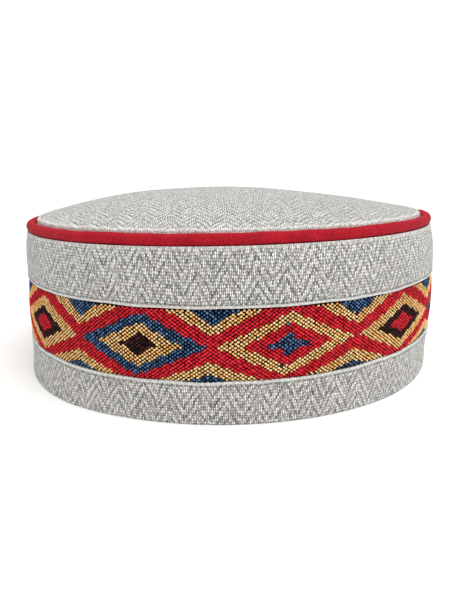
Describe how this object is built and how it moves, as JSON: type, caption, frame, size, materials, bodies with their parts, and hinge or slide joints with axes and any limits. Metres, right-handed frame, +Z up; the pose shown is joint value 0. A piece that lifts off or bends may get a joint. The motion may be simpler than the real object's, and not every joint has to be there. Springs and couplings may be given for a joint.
{
  "type": "kullu cap",
  "caption": "Round wool cap with an upright wall, a gently domed crown, red piping at the crown seam and a woven band of diamonds round the wall.",
  "frame": {"origin": "centre of the rim, in the plane that the cap stands on", "axes": "+Z up through the crown, -Y towards the front of the cap, +X to the right as seen from the front"},
  "size_m": [0.1913, 0.1988, 0.0771],
  "materials": {
    "grey_tweed": "woven wool herringbone, matt",
    "red_piping": "fine plain-woven cotton, matt",
    "woven_band": "patterned wool weave in red, yellow, blue and black, matt"
  },
  "bodies": {
    "root": {"crown": "grey_tweed", "crown_piping": "red_piping", "upper_band": "grey_tweed", "patterned_band": "woven_band", "lower_band": "grey_tweed"}
  },
  "joints": []
}
